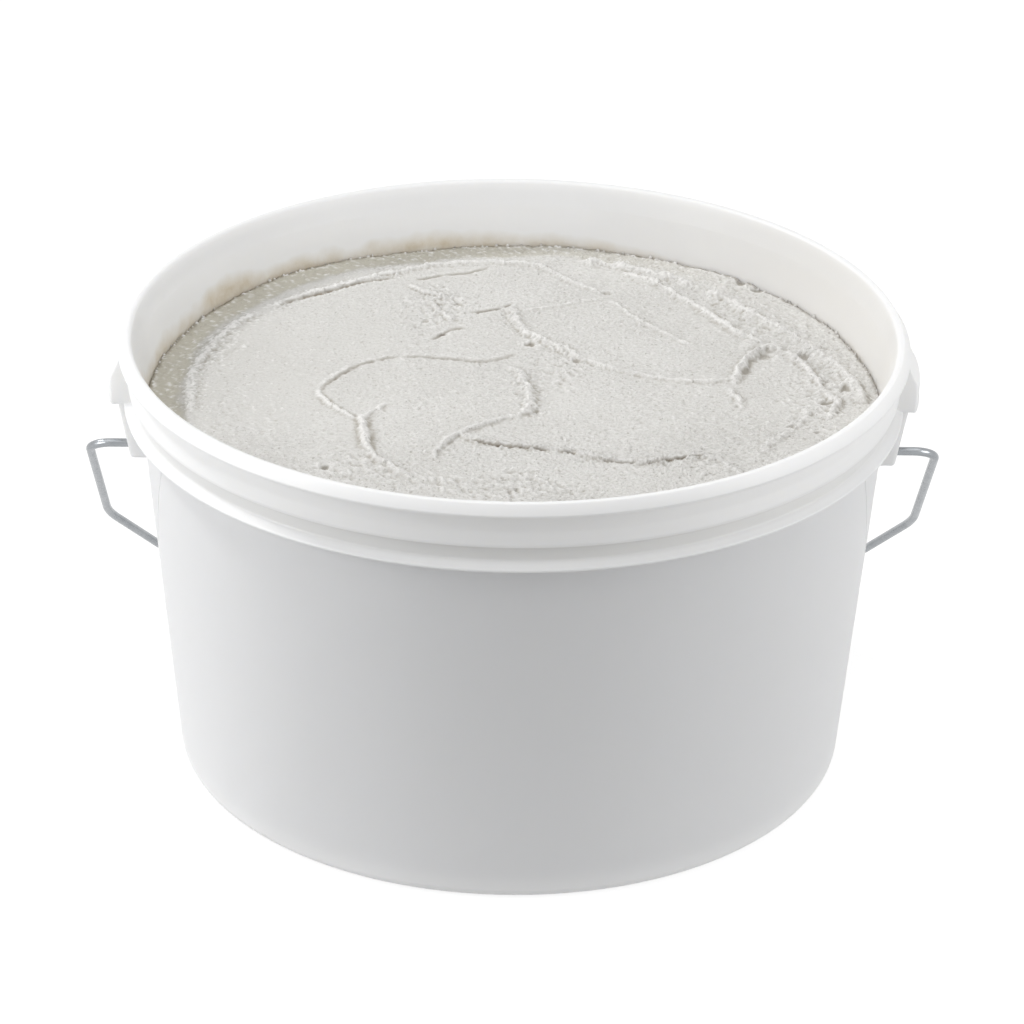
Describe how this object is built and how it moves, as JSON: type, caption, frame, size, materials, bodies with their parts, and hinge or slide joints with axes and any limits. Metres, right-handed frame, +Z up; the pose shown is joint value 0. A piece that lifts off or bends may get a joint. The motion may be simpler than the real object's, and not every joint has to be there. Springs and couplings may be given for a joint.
{
  "type": "tub of microcement",
  "caption": "Round open plastic tub with a rolled rim, ribbed collar and moulded ears, a swinging wire bail, and a fill of trowelled microcement paste.",
  "frame": {"origin": "middle of the tub's base, on the surface that it stands on", "axes": "+Z up along the tub's axis, X along the bail's pivot through the two ears, +Y to the side where the bail hangs at rest"},
  "size_m": [0.2958, 0.27, 0.156],
  "materials": {
    "tub_plastic": "satin",
    "bail_wire": "satin",
    "paste": "matte"
  },
  "bodies": {
    "tub": {"tub_shell": "tub_plastic", "microcement_fill": "paste"},
    "bail": {"bail_handle": "bail_wire"}
  },
  "joints": [
    {"name": "bail_swing", "type": "hinge", "parent": "tub", "child": "bail", "pos_m": [0, 0, 0.1111], "axis": [1, 0, 0], "range_deg": [0, 265.4]}
  ]
}
